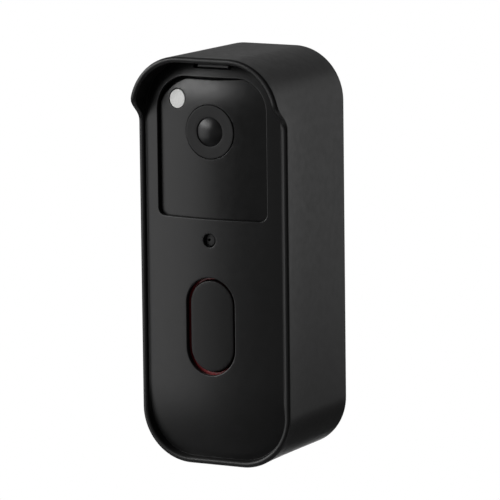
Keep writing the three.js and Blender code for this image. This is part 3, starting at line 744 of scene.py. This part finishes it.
def make_cover():
    """The cover: its fascia with four openings, its wall, and the speaker's and port's cutouts."""
    line = centred(COVER_WIDTH, COVER_HEIGHT, COVER_CORNER)
    holes = [
        (window_outline(), 0.35),
        (button_opening(), 0.45),
        (circle(MIC_HOLE, 0.0, MIC[1], 40), 0.3),
        (box_outline(*TAB_SLOT, 0.5, step=0.5), 0.15),
    ]
    front, back = offset_face(FASCIA_OUT), offset_face(FASCIA_IN)
    parts = plate(grown(line, -JOIN), front, back, holes, step=1.4, open_rim=True)
    parts.append(loft(cover_wall_loops(line)))
    cover = mesh_object("cover_shell", parts)
    width, depth, corner, middle = SPEAKER_HOLE
    speaker = centred(width, depth, corner, 0.0, middle, 0.6)
    notch = box_outline(*PORT_NOTCH, 2.5, 0.5, 0.6)
    bottom = COVER_LOW[2]
    cut(cover, [underside(hole, bottom + 3, bottom - 1) for hole in (speaker, notch)])
    finish_piece(cover, "cover", ["silicone_cover"])


# ---- the doorbell's face -------------------------------------------------------------------------

def make_window():
    """The glossy panel: a raised middle that shows in the cover's window, and a flange behind it.

    The middle is drawn in at the top and most at the top left, where the photo has a dark gap.
    """
    holes = [
        (circle(LENS_RADIUS + 0.12, LENS_X, LENS_Z, 96), 0.12),
        (circle(SENSOR_RADIUS + 0.2, *SENSOR, 64), 0.15),
    ]
    opening = window_outline(step=0.8)
    facing_left, facing_up = np.clip(opening.normals * (-1, 1), 0, 1).T
    fade_end, fade_width = GAP_FADE
    left_share = np.clip((fade_end - opening.points[:, 0]) / fade_width, 0, 1)
    all_round, at_top, at_corner = PANEL_GAP
    inset = all_round + at_corner * facing_left * facing_up + at_top * facing_up ** 2 * left_share
    middle = Outline(opening.points - opening.normals * inset[:, None], opening.normals)
    flange_width, flange_front, flange_back = PANEL_FLANGE
    rim = window_outline(flange_width, step=0.8)
    front = offset_face(PANEL_PROUD)
    step, back = offset_face(flange_front), offset_face(flange_back)
    edge = np.clip(inset, 0.08, 0.35)
    parts = [
        patch(middle.loop(edge, front), [hole.loop(-r, front) for hole, r in holes], front, 1.2),
        loft([*rounded_over(middle, 1, front, edge, 5), middle.loop(0.0, step)]),
        patch(rim.loop(0.0, step), [middle.loop(0.0, step)], step, 1.2),
        loft([rim.loop(0.0, step), rim.loop(0.0, back)]),
        patch(rim.loop(0.0, back), [hole.loop(-r, back) for hole, r in holes], back, 1.6),
    ]
    parts += [rounded_wall(hole, -1, front, back, r) for hole, r in holes]
    finish_piece(mesh_object("face_panel", parts), "doorbell", ["camera_window"])


def arc_points(centre, radius, start, end, count):
    """Profile points round an arc, with its angles in degrees."""
    points = []
    for i in range(count + 1):
        angle = math.radians(start + (end - start) * i / count)
        points.append((centre[0] + radius * math.cos(angle), centre[1] + radius * math.sin(angle)))
    return points


def make_lens():
    """The flat ring round the lens, and the domed front glass in it."""
    front, back = LENS_FRONT, LENS_LOW[1]
    outer_edge, inner_edge = 0.3, 0.25
    profile = [(LENS_HOLE, back), (LENS_RADIUS, back)]
    profile += arc_points((LENS_RADIUS - outer_edge, front - outer_edge), outer_edge, 0, 90, 5)
    profile += [(8.0, front), (6.0, front)]
    profile += arc_points((LENS_HOLE + inner_edge, front - inner_edge), inner_edge, 90, 180, 5)
    profile += [(LENS_HOLE, back)]
    collar = mesh_object("lens_collar", turned(profile, LENS_X, LENS_Z, 96))
    finish_piece(collar, "doorbell", ["lens_ring"])
    base = front - DOME_BEHIND
    sphere = (DOME_RADIUS ** 2 + DOME_HEIGHT ** 2) / (2 * DOME_HEIGHT)
    edge_angle = math.degrees(math.acos(DOME_RADIUS / sphere))
    profile = [(0, base - 0.4), (DOME_RADIUS, base - 0.4)]
    profile += arc_points((0, base + DOME_HEIGHT - sphere), sphere, edge_angle, 90, 20)
    dome = mesh_object("lens_front", turned(profile, LENS_X, LENS_Z, 72))
    finish_piece(dome, "doorbell", ["lens_dome"])


def make_sensor():
    """The motion sensor's white disc, slightly domed."""
    def height(across, up):
        away = np.hypot(across - SENSOR[0], up - SENSOR[1]) / SENSOR_RADIUS
        return face_height(across, up) + PANEL_PROUD + SENSOR_CROWN * (1 - away ** 2)
    disc = plate(circle(SENSOR_RADIUS, *SENSOR, 64), height, SENSOR_BACK, edge=0.18, step=0.5)
    finish_piece(mesh_object("sensor_disc", disc), "doorbell", ["motion_sensor_lens"])


def make_button():
    """The cap with the flange that holds it, and the red ring round it with its foot."""
    parts = plate(stadium(0.0), offset_face(BUTTON_PROUD), CAP_BACK, edge=0.4, step=1.2)
    margin, front, back = CAP_FLANGE
    parts += plate(stadium(margin), front, back, edge=0.1, step=4.0)
    finish_piece(mesh_object("button_face", parts), "button", ["button_cap"])
    outer, inner, back = GLOW_RING
    parts = plate(stadium(outer), offset_face(0.0), back, [(stadium(inner), 0.15)], 0.15, 0.8)
    outer, inner, front, back = RING_FOOT
    parts += plate(stadium(outer), front, back, [(stadium(inner), 0.1)], 0.1, 1.0)
    finish_piece(mesh_object("glow_ring", parts), "doorbell", ["button_light_ring"])


def make_tab():
    """The release tab: a bar that shows in the cover's slot, and the lug that the spring meets."""
    low, high = TAB_LOW, TAB_HIGH
    top = high[2] - 0.45
    bar = box_outline(low[0], high[0], top - 0.85, top, 0.3, step=2.0)
    parts = plate(bar, high[1], low[1], edge=0.2, step=3.0)
    parts += box_part(-2.5, 2.5, low[1], low[1] + 1.3, low[2], high[2] - 0.6)
    finish_piece(mesh_object("tab_bar", parts), "release", ["release_tab"])


def make_front_shell():
    """The housing's front half: a crowned face with a rounded edge, open at the back."""
    line = housing_outline(0.0)
    front, inner = offset_face(0.0), offset_face(-FACE_DEPTH)
    pinhole = (circle(PINHOLE, *MIC, 24), 0.08)
    holes = [(stadium(1.9), 0.3), pinhole]
    top = [hole.loop(-r, front) for hole, r in holes]
    under = [hole.loop(-r, inner) for hole, r in holes]
    chamfer_in, chamfer_along = SPLIT_CHAMFER
    outside = rounded_over(line, 1, front, FACE_EDGE, 5)
    outside += [line.loop(0.0, SPLIT + chamfer_along), line.loop(chamfer_in, SPLIT)]
    outside += [line.loop(HOUSING_WALL, SPLIT), line.loop(HOUSING_WALL, inner)]
    parts = [
        patch(line.loop(FACE_EDGE, front), top, front, 1.4),
        loft(outside),
        patch(line.loop(HOUSING_WALL, inner), under, inner, 2.0),
    ]
    parts += [rounded_wall(hole, -1, front, inner, r) for hole, r in holes]
    shell = mesh_object("front_shell", parts)
    seat_margin, seat_floor = PANEL_SEAT
    seat = window_outline(seat_margin, 0.8)
    half = (TAB_HIGH[0] - TAB_LOW[0]) / 2 + CLEARANCE
    groove_low, groove_high = TAB_HIGH[2] - 1.4, HOUSING_HIGH[2] + 1
    grille = [box_outline(x - 1, x + 1, *GRILLE, 0.9, step=0.3) for x in GRILLE_SLOTS]
    low = HOUSING_LOW[2]
    cut(shell, [
        plate(seat, PAST_FACE, offset_face(seat_floor), edge=0.02, step=3.0),
        disc_part(CAMERA_WELL, 0, LENS_Z, WELL_BACK, PAST_FACE, 48),
        disc_part(SENSOR_WELL, *SENSOR, WELL_BACK, PAST_FACE),
        *[disc_part(LED_WELL, x, LED_Z, WELL_BACK, PAST_FACE) for x in (-LED_X, LED_X)],
        box_part(-half, half, TAB_LOW[1] - 1.8, FACE + 1, groove_low, groove_high, 0.05),
        *[underside(slot, low + 3, low - 1) for slot in grille],
    ])
    radius, pad_front, pad_back = MIC_PAD
    pad = circle(radius, *MIC, 40)
    pad_surfaces = (offset_face(pad_front), offset_face(pad_back))
    cut(shell, [plate(pad, *pad_surfaces, [pinhole], 0.2, 0.5)], "UNION")
    finish_piece(shell, "doorbell", ["front_housing"])


# ---- the back ------------------------------------------------------------------------------------

def make_rear_shell():
    """The housing's rear half, with the bracket's pocket, hook slots, wells and the port's seat."""
    line = housing_outline(0.0)
    floor = POCKET_DEPTH + 2.0
    rounding = 1.0
    chamfer_in, chamfer_along = SPLIT_CHAMFER
    outside = [
        line.loop(HOUSING_WALL, floor),
        line.loop(HOUSING_WALL, SPLIT),
        line.loop(chamfer_in, SPLIT),
        line.loop(0.0, SPLIT - chamfer_along),
        line.loop(0.0, HOUSING_BACK + rounding + 0.5),
    ]
    for sine, cosine in quarter_turn(6):
        height = HOUSING_BACK + rounding * (1 - sine)
        outside.append(line.loop(rounding * (1 - cosine), height))
    shell = mesh_object("rear_shell", [
        patch(line.loop(HOUSING_WALL, floor), [], floor, 4.0),
        loft(outside),
        patch(line.loop(rounding, HOUSING_BACK), [], HOUSING_BACK, 4.0),
    ])
    post_radius, well_radius = 2.9, 3.6
    posts = [disc_part(post_radius, x, z, floor - 1, SPLIT - 0.2) for x, z in SCREWS]
    wells = [disc_part(well_radius, x, z, floor - 1, floor + 3.4) for x, z in TERMINALS]
    cut(shell, [*posts, *wells], "UNION")
    width, height, middle = POCKET
    pocket = centred(width, height, POCKET_CORNER, 0.0, middle)
    seal_groove = [(housing_outline(1.65), 0.02)]
    port = centred(10.0, 4.2, 2.0, 0.0, PORT_DEPTH, 0.4)
    flap_across = (FLAP_LOW[0] - CLEARANCE, FLAP_HIGH[0] + CLEARANCE)
    flap_deep = (FLAP_LOW[1] - CLEARANCE, FLAP_HIGH[1] + CLEARANCE)
    seat = box_outline(*flap_across, *flap_deep, 2.0, 0.5, 0.5)
    slot_half = HOOK_HALF + 0.5
    below, above = HOOK_SLOT
    screw_shank, screw_head, head_depth = 1.2, 2.2, 16
    terminal_head, terminal_shank, reset_hole = 2.9, 1.5, 1.8
    low = HOUSING_LOW[2]
    cut(shell, [
        plate(pocket, POCKET_DEPTH, -1.0, edge=0.02, step=8.0),
        plate(housing_outline(0.35), SPLIT + 1, SPLIT - 0.8, seal_groove, 0.02, 4.0),
        *[
            box_part(-slot_half, slot_half, -1, floor + 0.2, z + below, z + above, 0.6)
            for z in HOOKS
        ],
        *[disc_part(screw_shank, x, z, -1, SPLIT + 1) for x, z in SCREWS],
        *[disc_part(screw_head, x, z, -1, head_depth) for x, z in SCREWS],
        *[disc_part(terminal_head, x, z, -1, floor - 0.2) for x, z in TERMINALS],
        *[disc_part(terminal_shank, x, z, -1, floor + 4) for x, z in TERMINALS],
        disc_part(reset_hole, *RESET, -1, floor + 1),
        underside(port, low + 3, low - 1),
        underside(seat, low + 1.3, low - 1),
    ])
    soften(shell, 0.18)
    finish_piece(shell, "doorbell", ["rear_housing"])


def make_bracket():
    """The plate screwed to the wall, with a cable opening, slots and two hooks that point up."""
    thickness = 3.0
    lip = 1.6
    front = BRACKET_HIGH[1]
    line = box_outline(BRACKET_LOW[0], BRACKET_HIGH[0], BRACKET_LOW[2], BRACKET_HIGH[2], 8.0)
    holes = [(centred(18.0, 20.0, 4.0, 0.0, 22.0), 0.35)]
    holes += [(centred(4.4, 16.0, 2.1, x, -14.0, 0.5), 0.35) for x in (-13.0, 13.0)]
    bracket = mesh_object("bracket_plate", plate(line, thickness, 0.0, holes, 0.5, 3.0))
    hooks = []
    for z in HOOKS:
        hooks.append(box_part(-HOOK_HALF, HOOK_HALF, thickness - 0.1, front, z, z + 2.5, 0.4))
        hooks.append(box_part(-HOOK_HALF, HOOK_HALF, front - lip, front, z, z + 6.5, 0.4))
    cut(bracket, hooks, "UNION")
    countersink = [(0, -1), (2.3, -1), (2.3, 1.2), (4.3, 3.2), (4.3, 4), (0, 4)]
    cut(bracket, [turned(countersink, 0, z, 40) for z in (-33.0, 38.0)])
    finish_piece(bracket, "bracket", ["wall_bracket"])


def make_flap():
    """The port's rubber lid, with its plug."""
    low, high = FLAP_LOW, FLAP_HIGH
    lid = box_outline(low[0], high[0], low[1], high[1], 1.7, 0.35, 0.4)
    plug = centred(8.6, 2.8, 1.3, 0.0, PORT_DEPTH, 0.3)
    parts = underside(lid, low[2] + 0.9, low[2], 0.2)
    parts += underside(plug, high[2], low[2] + 0.7, 0.15)
    finish_piece(mesh_object("flap_lid", parts), "flap", ["port_flap"])


# ---- floor, lights and camera --------------------------------------------------------------------

# The camera, solved from the outline in the photo, in degrees and millimetres.
CAMERA_AZIMUTH = 29.0
CAMERA_ELEVATION = 9.06
CAMERA_ROLL = -0.69
CAMERA_DISTANCE = 1677.0
CAMERA_LENS = 371.9
CAMERA_AIM = (13.64, RIM, 4.77)

FLOOR_HEIGHT = -600.0
FLOOR_HALF = 420.0
WORLD_FILL = 0.06

# Rectangular soft boxes: azimuth and elevation in degrees, width and height in metres, and watts.
LIGHT_DISTANCE = 1.0
LIGHT_AIM = (0, 20, 0)
LIGHTS = {
    "key_left": (-53, -8, 0.85, 0.55, 2.78),
    "high_left": (-50, 20, 0.95, 0.3, 9.0),
    "top_left": (-60, 54, 0.6, 0.4, 0.6),
    "low_right": (105, -40, 0.6, 0.6, 1.0),
    "low_back": (-157, -21, 0.3, 0.15, 0.3),
    "right_back": (156, 6, 0.95, 0.65, 1.58),
    "back_left": (-152, 6, 0.5, 0.5, 0.18),
    "high_back": (-165, 40, 0.9, 0.6, 0.55),
    "front_right": (12, -2, 0.6, 0.35, 0.25),
}


def frame_point(x, d, z):
    return Vector((x * MM, -d * MM, z * MM))


def view_direction(azimuth, elevation):
    """The direction from the object to a viewer, with azimuth 0 in front and 90 to the right."""
    a, e = math.radians(azimuth), math.radians(elevation)
    return Vector((math.sin(a) * math.cos(e), -math.cos(a) * math.cos(e), math.sin(e)))


def make_camera():
    back = view_direction(CAMERA_AZIMUTH, CAMERA_ELEVATION)
    level = Vector((0, 0, 1)).cross(back).normalized()
    right = Matrix.Rotation(math.radians(CAMERA_ROLL), 3, back) @ level
    up = back.cross(right)
    place = Matrix((right, up, back)).transposed().to_4x4()
    place.translation = frame_point(*CAMERA_AIM) + back * CAMERA_DISTANCE * MM
    camera = bpy.data.objects.new("camera", bpy.data.cameras.new("camera"))
    camera.data.sensor_width = 36.0
    camera.data.lens = CAMERA_LENS
    camera.data.clip_start = 0.1
    camera.data.clip_end = 20.0
    camera.matrix_world = place
    bpy.context.scene.collection.objects.link(camera)
    bpy.context.scene.camera = camera


def make_light(name, azimuth, elevation, width, height, watts):
    """A soft box that faces the middle of the object."""
    data = bpy.data.lights.new(name, "AREA")
    data.shape = "RECTANGLE"
    data.size = width
    data.size_y = height
    data.energy = watts
    lamp = bpy.data.objects.new(name, data)
    away = view_direction(azimuth, elevation)
    lamp.location = frame_point(*LIGHT_AIM) + away * LIGHT_DISTANCE
    lamp.rotation_euler = away.to_track_quat("Z", "Y").to_euler()
    bpy.context.scene.collection.objects.link(lamp)


def make_world():
    """White behind the object, and a dim even fill for the light that reaches it."""
    world = bpy.data.worlds.new("studio")
    bpy.context.scene.world = world
    world.use_nodes = True
    tree = world.node_tree
    seen = tree.nodes["Background"]
    lighting = tree.nodes.new("ShaderNodeBackground")
    for background, strength in ((seen, 1.0), (lighting, WORLD_FILL)):
        background.inputs["Color"].default_value = (1, 1, 1, 1)
        background.inputs["Strength"].default_value = strength
    path = tree.nodes.new("ShaderNodeLightPath")
    mix = tree.nodes.new("ShaderNodeMixShader")
    tree.links.new(path.outputs["Is Camera Ray"], mix.inputs[0])
    tree.links.new(lighting.outputs[0], mix.inputs[1])
    tree.links.new(seen.outputs[0], mix.inputs[2])
    tree.links.new(mix.outputs[0], tree.nodes["World Output"].inputs["Surface"])


def make_floor():
    """A pale floor well below the doorbell, which hangs at its own height."""
    sides = ((-1, -1), (1, -1), (1, 1), (-1, 1))
    corners = np.array([(x * FLOOR_HALF, d * FLOOR_HALF, FLOOR_HEIGHT) for x, d in sides])
    floor = mesh_object("floor", [(corners, [(0, 1, 2, 3)])])
    pale = new_material("floor_pale", (0.8, 0.8, 0.8), 0.7)
    add_bump(pale, noise(pale.node_tree, 400.0, 2.0), 0.004)
    floor.data.materials.append(pale)


def make_studio():
    bpy.context.scene.view_settings.view_transform = "Standard"
    make_camera()
    make_world()
    make_floor()
    for name, light in LIGHTS.items():
        make_light(name, *light)


# ---- assembly ------------------------------------------------------------------------------------

make_studio()
dress_frame_nodes()
make_cover()
make_front_shell()
make_window()
make_lens()
make_sensor()
make_button()
make_tab()
make_rear_shell()
make_bracket()
make_flap()
